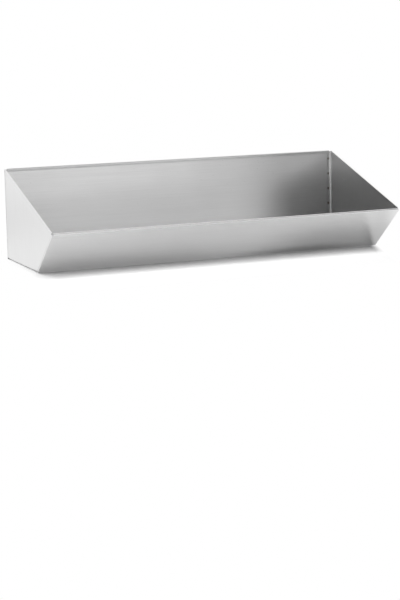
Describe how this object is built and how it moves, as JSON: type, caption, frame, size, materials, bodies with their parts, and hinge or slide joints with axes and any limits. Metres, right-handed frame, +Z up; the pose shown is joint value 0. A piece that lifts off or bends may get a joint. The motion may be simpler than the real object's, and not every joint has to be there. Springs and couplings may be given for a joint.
{
  "type": "trough feeder",
  "caption": "Free-standing folded stainless steel feed trough with a tall back wall, flat floor, low sloping front apron, hemmed rims and spot-welded flat end caps, open along its top.",
  "frame": {"origin": "on the ground under the middle of the whole box: half-way along the trough, and half-way between the back wall's outer face and the front lip", "axes": "+X along the trough, towards the right end as seen from the open front; +Y towards the back wall; +Z up"},
  "size_m": [0.5, 0.2025, 0.125],
  "materials": {
    "shell_steel": "satin brushed along the trough's length",
    "end_cap_steel": "satin brushed",
    "weld_nugget": "bare electrode mark, faintly heat tinted"
  },
  "bodies": {
    "root": {"trough_shell": "shell_steel", "left_end_cap": "end_cap_steel", "right_end_cap": "end_cap_steel", "left_back_spot_welds": "weld_nugget", "left_floor_spot_welds": "weld_nugget", "left_front_spot_welds": "weld_nugget", "right_back_spot_welds": "weld_nugget", "right_floor_spot_welds": "weld_nugget", "right_front_spot_welds": "weld_nugget"}
  },
  "joints": []
}
